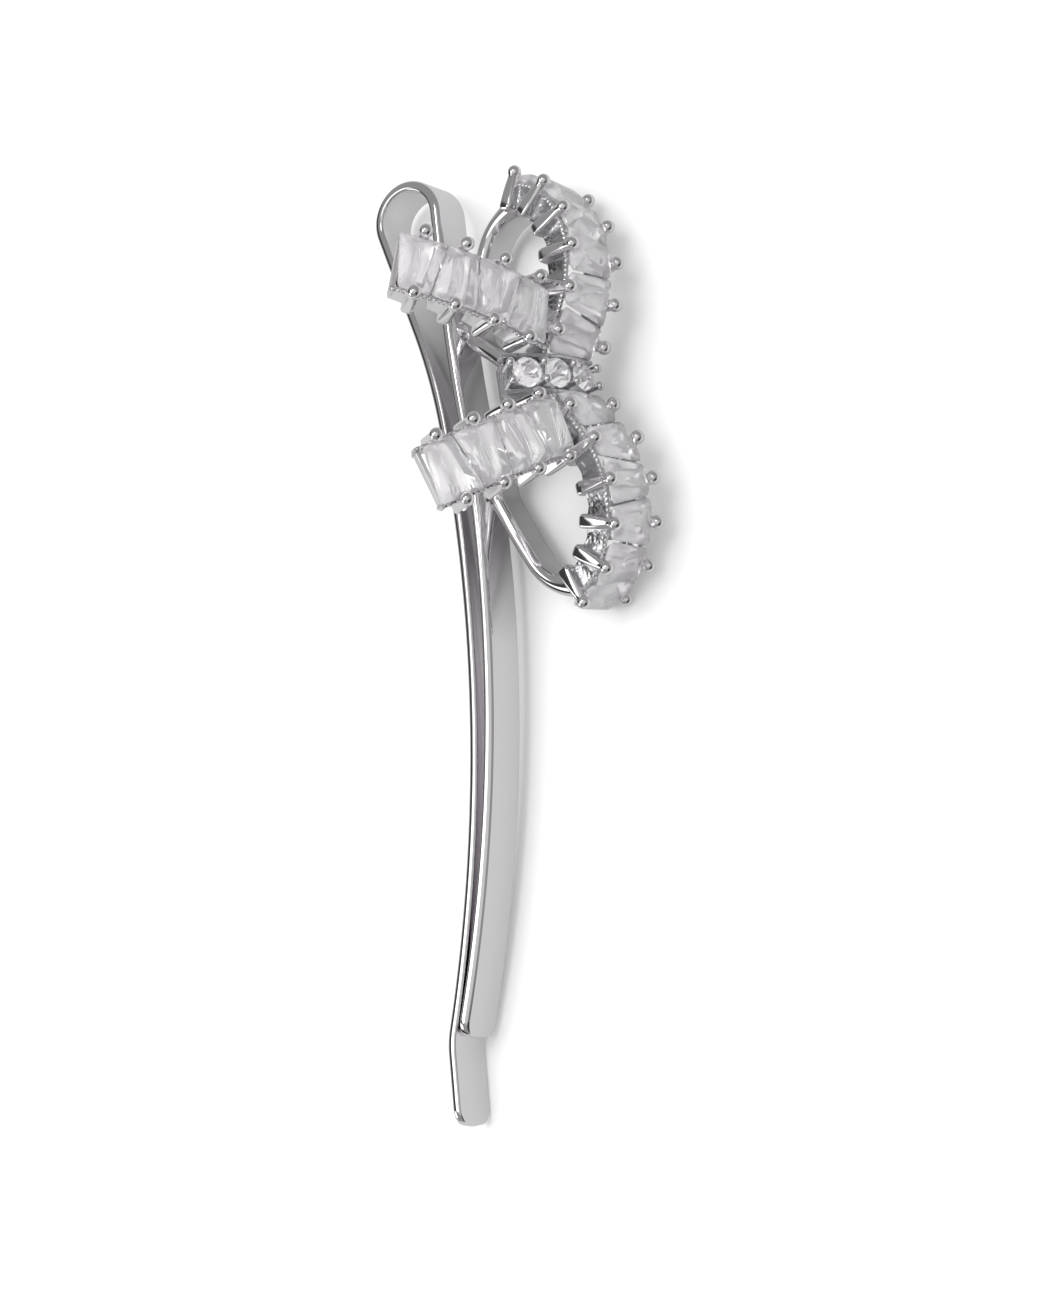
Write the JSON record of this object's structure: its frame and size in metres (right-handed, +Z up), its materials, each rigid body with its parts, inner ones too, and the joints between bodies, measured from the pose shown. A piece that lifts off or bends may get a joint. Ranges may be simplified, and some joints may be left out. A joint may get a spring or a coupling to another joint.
{
  "type": "hair slide with stone bow",
  "caption": "Bent spring strip hair slide with a ribbon bow of tapered baguette stones in prong settings, lying on its side.",
  "frame": {"origin": "middle of the box's base, on the surface that the slide lies on", "axes": "+Z up, +Y along the strip towards its spring loop, +X from the back leg towards the bow"},
  "size_m": [0.0196, 0.0584, 0.0146],
  "materials": {
    "silver_metal": "mirror-polished white plated brass",
    "clear_stone": "milky clear step-cut zirconia"
  },
  "bodies": {
    "root": {"frame": "silver_metal", "upper_loop_stone_1": "clear_stone", "upper_loop_stone_2": "clear_stone", "upper_loop_stone_3": "clear_stone", "upper_loop_stone_4": "clear_stone", "upper_loop_stone_5": "clear_stone", "upper_loop_stone_6": "clear_stone", "lower_loop_stone_1": "clear_stone", "lower_loop_stone_2": "clear_stone", "lower_loop_stone_3": "clear_stone", "lower_loop_stone_4": "clear_stone", "lower_loop_stone_5": "clear_stone", "lower_loop_stone_6": "clear_stone", "upper_tail_stone_1": "clear_stone", "upper_tail_stone_2": "clear_stone", "upper_tail_stone_3": "clear_stone", "upper_tail_stone_4": "clear_stone", "lower_tail_stone_1": "clear_stone", "lower_tail_stone_2": "clear_stone", "lower_tail_stone_3": "clear_stone", "lower_tail_stone_4": "clear_stone", "knot_stone_1": "clear_stone", "knot_stone_2": "clear_stone", "knot_stone_3": "clear_stone"}
  },
  "joints": []
}
